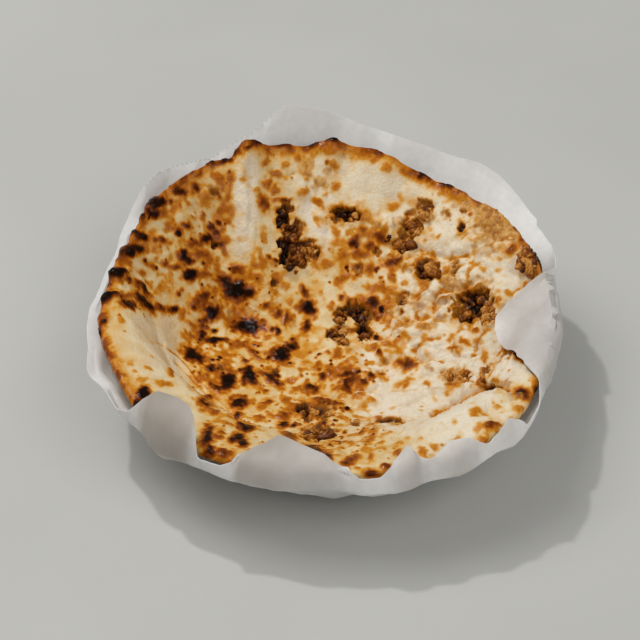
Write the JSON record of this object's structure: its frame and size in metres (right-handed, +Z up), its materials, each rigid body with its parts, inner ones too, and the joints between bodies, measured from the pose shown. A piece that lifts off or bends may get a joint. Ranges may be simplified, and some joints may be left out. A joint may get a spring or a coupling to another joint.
{
  "type": "keema naan",
  "caption": "Dished keema naan, a flatbread filled with spiced mince, with burst blisters and charred spots, in a crumpled sheet of greaseproof paper.",
  "frame": {"origin": "middle of the flat spot under the paper that the part rests on", "axes": "+Z up, +X to the right seen from the low front side, +Y towards the high back wall"},
  "size_m": [0.1989, 0.2129, 0.0837],
  "materials": {
    "baked_bread": "baked flatbread, cream to golden brown with charred blisters and a light oily sheen",
    "cooked_mince": "cooked spiced mince, dark brown, moist",
    "greaseproof_paper": "white greaseproof paper, matt, slightly see-through, creased"
  },
  "bodies": {
    "root": {"naan": "baked_bread", "keema_filling": "cooked_mince", "paper_liner": "greaseproof_paper"}
  },
  "joints": []
}
